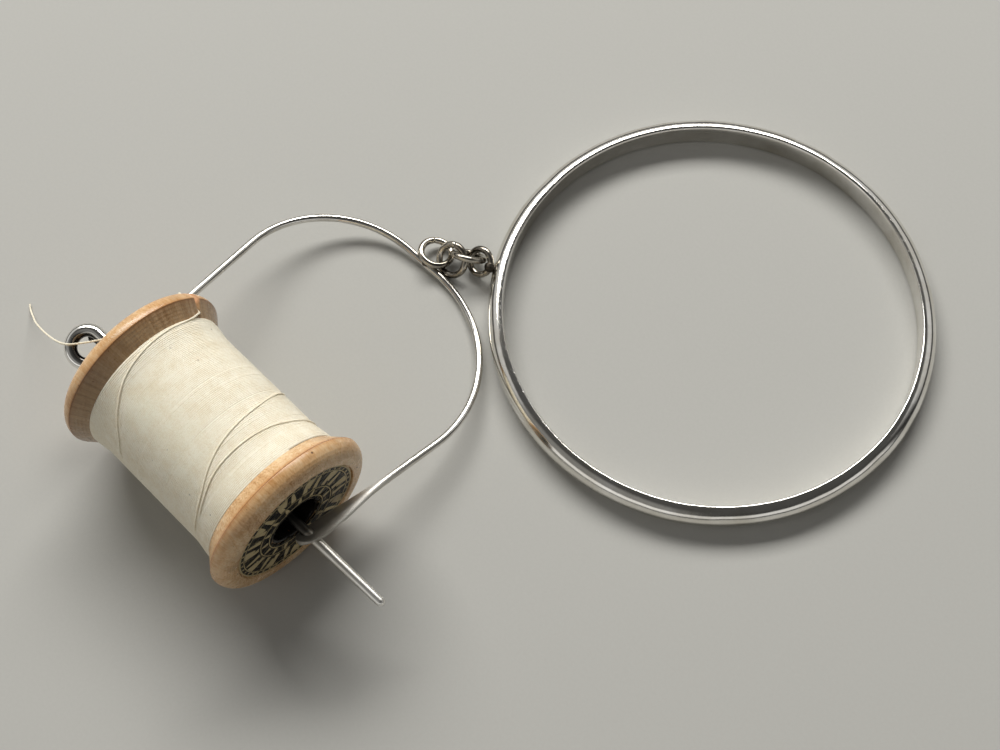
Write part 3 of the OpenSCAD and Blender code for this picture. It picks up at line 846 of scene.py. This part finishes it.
def pin_rings():
    """One drawn wire: a rounded tip, a taper to the eye, and the eye's coil."""
    tip = [(pin_end + PIN_TIP_R * math.sin(a), PIN_TIP_R * math.cos(a))
           for a in np.radians([84, 70, 55, 40, 25, 10, 0])]
    shaft = [(x, pin_r(x)) for x in np.linspace(pin_end, coil_x, 60)[1:]]
    path = [(x, 0, 0) for x, _ in tip + shaft]
    size = [r for _, r in tip + shaft]
    for a in np.arange(4, 401, 4):
        t = math.radians(a)
        path.append((coil_x - COIL_R * math.sin(t), COIL_R * (math.cos(t) - 1),
                     -COIL_RISE * smooth(a / 270)))
        size.append(PIN_R)
    rings = tube(np.array(path), np.array(size) - 0.005, 28)
    return rings + rounded_end(rings[-1], rings[-2], 0.3)


points, faces = skin(pin_rings())
pin = piece("pin_wire", on_pin(points), faces, drawn_silver, "pin", "silver", sharp=60)
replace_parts(pin, "pin")


# ---- reel ----

def arc(x, r, size, start, end, steps):
    """(along, radius) points on an arc, its angles in degrees from straight outwards."""
    a = np.radians(np.linspace(start, end, steps + 1))
    return [(x + size * math.sin(t), r + size * math.cos(t)) for t in a]


def flange(recess):
    """Half section of a flange from its bore to the barrel, as (along, radius)."""
    ease = 0.3
    points = [(FACE - recess - ease, BORE_R)] + arc(FACE - recess - ease, BORE_R + ease, ease,
                                                    180, 90, 4)
    if recess:
        points += [(FACE - recess, r) for r in (6.0, 8.0, 10.0)]
        points += [(FACE - recess, RECESS_R - 0.05), (FACE - 0.12, RECESS_R),
                   (FACE - 0.03, RECESS_R + 0.06)]
    points += [(FACE, r) for r in (RECESS_R + 0.2, 11.1)]
    points += arc(FACE - RIM_OUT, FLANGE_R - RIM_OUT, RIM_OUT, 90, 0, 16)
    edge = FACE - FLANGE_T + RIM_IN
    points += arc(edge, FLANGE_R - RIM_IN, RIM_IN, 0, SLOPE_DEG - 90, 5)
    points += [(slope_at(r), r) for r in (13.3, 12.8, 12.3, 11.6, 10, 8, BARREL_R)]
    return points


near_side = flange(RECESS_DEEP)
far_side = [(-x, r) for x, r in flange(0.0)][::-1]
reel = piece("birch_reel", *turned_on_reel(near_side + far_side, 192), birch, "reel", "wood")
# The slit is a wedge, and what saws it stands out past the rim.
slit = [around(x, r, NOTCH_AT) + around(0, w, NOTCH_AT + 90) - reel_at
        for x in (-FACE - 1, 1 - slope_at(FLANGE_R - NOTCH_DEEP))
        for r, w in ((FLANGE_R - NOTCH_DEEP, 0), (FLANGE_R + 0.5, 0.85), (FLANGE_R + 0.5, -0.85))]
saw = piece("saw", slit, [[0, 1, 2], [5, 4, 3], [0, 3, 4, 1], [1, 4, 5, 2], [2, 5, 3, 0]],
            birch, None, None)
carve(reel, saw, 42)
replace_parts(reel, "reel")


def label_disc():
    """Paper pasted in the recess: it has lifted a little, and its hole is ragged."""
    rows = []
    for a in full_turn(144):
        inner = (4.35 + 0.16 * math.sin(3 * a) + 0.12 * math.sin(8 * a + 1)
                 + 0.08 * math.sin(19 * a))
        column = [(LABEL_LIFT + 0.04 + 0.03 * math.sin(4 * a + r) * math.sin(r), r)
                  for r in np.linspace(inner, LABEL_R, 14)]
        column += [(0.01, r) for r in (LABEL_R, inner)]
        rows.append([(FACE - RECESS_DEEP + x, r * math.sin(a), r * math.cos(a))
                     for x, r in column])
    return loop_skin(reel_at + np.array(rows))


label = piece("paper_label", *label_disc(), label_paper, "reel", "paper", sharp=40)
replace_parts(label, "label")


# ---- cotton on the reel ----

WIND_END = slope_at(END_R) - 0.02
FILL = REEL_LEN / 9    # length over which the winding grows fuller at its ends
PITCH = 0.26           # from one turn of cotton to the next


def wind_at(x):
    return WIND_R + (END_R - WIND_R) * smooth((abs(x) - WIND_END + FILL) / FILL)


def winding():
    """The full core, and over it the last layer: one strand wound from end to end."""
    inner = BARREL_R + 0.02
    xs = np.linspace(-WIND_END, WIND_END, 60)
    profile = [(-slope_at(inner) + 0.02, inner)] \
        + [(x, wind_at(x) - 0.35 * THREAD_R) for x in xs] + [(slope_at(inner) - 0.02, inner)]
    core, faces = turned_on_reel(profile, 96)
    per_turn = 80
    first, last = 0.1 - WIND_END, WIND_END - 0.12
    turns = (last - first) / PITCH
    count = int(turns * per_turn)
    shift = np.cumsum(rng.normal(0, 0.006, count))
    shift -= np.linspace(shift[0], shift[-1], count)
    shift = np.clip(shift, -0.06, 0.06)
    loose = np.convolve(rng.normal(0, 1, count + 40), np.ones(41) / 41, "valid")
    strand = []
    for i in range(count):
        a = 2 * math.pi * i / per_turn
        x = first + (last - first) * i / count + shift[i]
        x = min(max(x, first), last)
        r = wind_at(x) - THREAD_R + 0.04 * loose[i]
        out = np.array([0, math.sin(a), math.cos(a)])
        for b in np.radians([-100, -52, 0, 52, 100]):
            strand.append(reel_at + np.array([x + THREAD_R * math.sin(b), 0, 0])
                          + out * (r + THREAD_R * math.cos(b)))
    faces += strips(count, 5, loop_columns=False, start=len(core))
    return np.concatenate([core, strand]), faces


wound = piece("cotton_winding", *winding(), cotton_wound, "reel", "cotton")
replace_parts(wound, "thread_winding")


def strand_on_reel(name, places, sink, replaces=None, more=()):
    """A loose strand that lies on the winding at (along, degrees from the top), sinks into it
    at the ends that sink names, and goes on through more points."""
    route = []
    for i, (x, from_top) in enumerate(places):
        sinks = (i == 0 and sink[0]) or (i == len(places) - 1 and sink[1])
        lift = (-1.2 if sinks else -0.1) * THREAD_R
        route.append(around(x, wind_at(x) + lift, from_top))
    route += list(more)
    path = evenly(curve(route, 8), YARN_STEP)
    strand = piece(name, *skin(tube(path, THREAD_R, 8, ply=0.08, lay=YARN_LAY)),
                   cotton_strand, "reel", "cotton")
    if replaces:
        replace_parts(strand, replaces)


strand_on_reel("cotton_stray_1",
               [(2.6, 92), (3.1, 74), (3.6, 57), (4.5, 33), (5.1, 11), (5.8, -8), (6.9, -25),
                (8.3, -42), (9.1, -58), (9.5, -73), (9.7, -90)], (True, True))
strand_on_reel("cotton_stray_2",
               [(9.6, 90), (9.5, 75), (9.2, 60), (8.8, 42), (8.2, 25), (7.85, 6), (7.8, -10),
                (8.05, -25), (8.7, -38), (9.4, -52), (9.9, -66)], (True, True))
lead_places = [(x - WIND_END, a) for x, a in (
    (7.4, -88), (6.5, -74), (5.8, -62), (4.3, -49), (3, -36), (1.8, -22), (1.1, -7),
    (0.65, 8), (0.42, 23), (0.34, 37))]


def on_flare(r, from_top):
    """A place where the thread lies on the far flange's flare."""
    return around(1.1 * THREAD_LIFT / math.cos(SLOPE) - slope_at(r), r, from_top)


mouth = -slope_at(notch_r)
lead_up = [on_flare(notch_r - 2 * THREAD_R, NOTCH_AT - 10), on_flare(notch_r, NOTCH_AT - 3.5),
           around(mouth, notch_r, NOTCH_AT - 0.3)]
lead_up += [around(lead_end * t + mouth * (1 - t), notch_r, NOTCH_AT) for t in (0.3, 0.65, 1)]
strand_on_reel("cotton_lead", lead_places, (True, False), "thread_lead", lead_up)


# ---- floor, light and level ----

def sees_backdrop(tree):
    """1 for the rays that come from the view, off a gloss or through glass."""
    rays = add(tree, "ShaderNodeLightPath", out=None)
    seen = add(tree, "ShaderNodeMath", {0: rays["Is Camera Ray"], 1: rays["Is Glossy Ray"]},
               operation="MAXIMUM")
    return add(tree, "ShaderNodeMath", {0: seen, 1: rays["Is Transmission Ray"]},
               operation="MAXIMUM")


def studio_floor():
    finish, tree, place = new_finish("floor_paper")
    grain = add(tree, "ShaderNodeTexNoise", {"Vector": place, "Scale": 2.0, "Detail": 3.0})
    colour = add(tree, "ShaderNodeMix",
                 {"Factor": grain, "A": hexa("#B7B6B1"), "B": hexa("#BCBBB6")},
                 out="Result", data_type="RGBA")
    paper = add(tree, "ShaderNodeBsdfPrincipled",
                {"Base Color": colour, "Roughness": 0.9, "Specular IOR Level": 0.2})
    # Away from the piece the paper runs on to the horizon, as pale as it is beside it.
    away = add(tree, "ShaderNodeVectorMath", {0: place}, out="Value", operation="LENGTH")
    far = add(tree, "ShaderNodeMapRange", {"Value": away, "From Min": 130.0, "From Max": 340.0},
              interpolation_type="SMOOTHSTEP")
    far = add(tree, "ShaderNodeMath", {0: far, 1: sees_backdrop(tree)}, operation="MULTIPLY")
    glow = add(tree, "ShaderNodeEmission", {"Color": colour, "Strength": 1.0})
    shader = add(tree, "ShaderNodeMixShader", {0: far, 1: paper, 2: glow})
    add(tree, "ShaderNodeOutputMaterial", {"Surface": shader}, out=None)
    # It lies a hair under the piece.
    corners = [(x * 5000, y * 5000, -0.04) for x, y in ((-1, -1), (1, -1), (1, 1), (-1, 1))]
    piece("floor", corners, [[0, 1, 2, 3]], finish, None, None)


studio_floor()


# The window light stands behind the reel's far end, wide and half way up.
window = bpy.data.lights.new("window", "AREA")
window.shape = "RECTANGLE"
window.size, window.size_y = 1.2, 0.4
window.energy = 17.8
window.color = hexa(DAYLIGHT)[:3]
window_at = Vector((-0.69, 0.45, 0.82))
window_aim = Vector((-0.02, -0.02, 0.0))
holder = bpy.data.objects.new("window", window)
holder.matrix_world = (
    Matrix.Translation(window_at)
    @ (window_aim - window_at).to_track_quat("-Z", "Y").to_matrix().to_4x4()
)
scene.collection.objects.link(holder)

world = bpy.data.worlds.new("studio")
world.use_nodes = True
tree = world.node_tree
tree.nodes.clear()
way = add(tree, "ShaderNodeTexCoord", out="Generated")
up = add(tree, "ShaderNodeSeparateXYZ", {0: way}, out="Z")


def pale_wall(direction, sides, foot, top, glow):
    """How bright a wall of the room is. It stands in a direction, and comes up from dark to its
    glow between the two numbers of sides (how much a ray points that way) and of foot and top
    (how high the ray goes)."""
    level = glow
    along = add(tree, "ShaderNodeVectorMath", {0: way, 1: direction}, out="Value",
                operation="DOT_PRODUCT")
    for value, (start, end) in ((along, sides), (up, foot), (up, top)):
        fade = add(tree, "ShaderNodeMapRange",
                   {"Value": value, "From Min": start, "From Max": end},
                   interpolation_type="SMOOTHSTEP")
        level = add(tree, "ShaderNodeMath", {0: level, 1: fade}, operation="MULTIPLY")
    return level


# The room is dim, and a pale corner of it behind the viewer fills the shadows a little.
level = add(tree, "ShaderNodeMapRange",
            {"Value": up, "From Min": 0.2, "From Max": 0.9, "To Min": 0.04, "To Max": 0.14},
            interpolation_type="SMOOTHSTEP")
corner_light = pale_wall((-0.05, -0.84, 0.54), (0.7, 0.9), (-0.2, -0.1), (1.3, 1.2), 0.36)
level = add(tree, "ShaderNodeMath", {0: level, 1: corner_light}, operation="ADD")
# The view and the silver also see the dim foot of the room, a pale wall round the window and
# a paler one across from it, with the dark between them.
far_wall = pale_wall((-0.72, 0.69, 0.0), (-0.1, 0.2), (0.24, 0.3), (0.8, 0.7), 0.55)
near_wall = pale_wall((0.69, -0.72, 0.0), (0.1, 0.4), (0.12, 0.2), (0.56, 0.46), 0.7)
skirting = pale_wall((0.0, 0.0, 1.0), (-1.3, -1.2), (-1.3, -1.2), (0.2, 0.05), 0.1)
backdrop = add(tree, "ShaderNodeMath", {0: far_wall, 1: near_wall}, operation="MAXIMUM")
backdrop = add(tree, "ShaderNodeMath", {0: backdrop, 1: skirting}, operation="MAXIMUM")
seen = sees_backdrop(tree)
unlit = add(tree, "ShaderNodeMath", {0: seen, 1: -0.5, 2: 1.0}, operation="MULTIPLY_ADD")
level = add(tree, "ShaderNodeMath", {0: level, 1: unlit}, operation="MULTIPLY")
level = add(tree, "ShaderNodeMath", {0: seen, 1: backdrop, 2: level}, operation="MULTIPLY_ADD")
sky = add(tree, "ShaderNodeBackground", {"Color": hexa(DAYLIGHT), "Strength": level})
add(tree, "ShaderNodeOutputWorld", {"Surface": sky}, out=None)
scene.world = world
scene.view_settings.view_transform = "Standard"
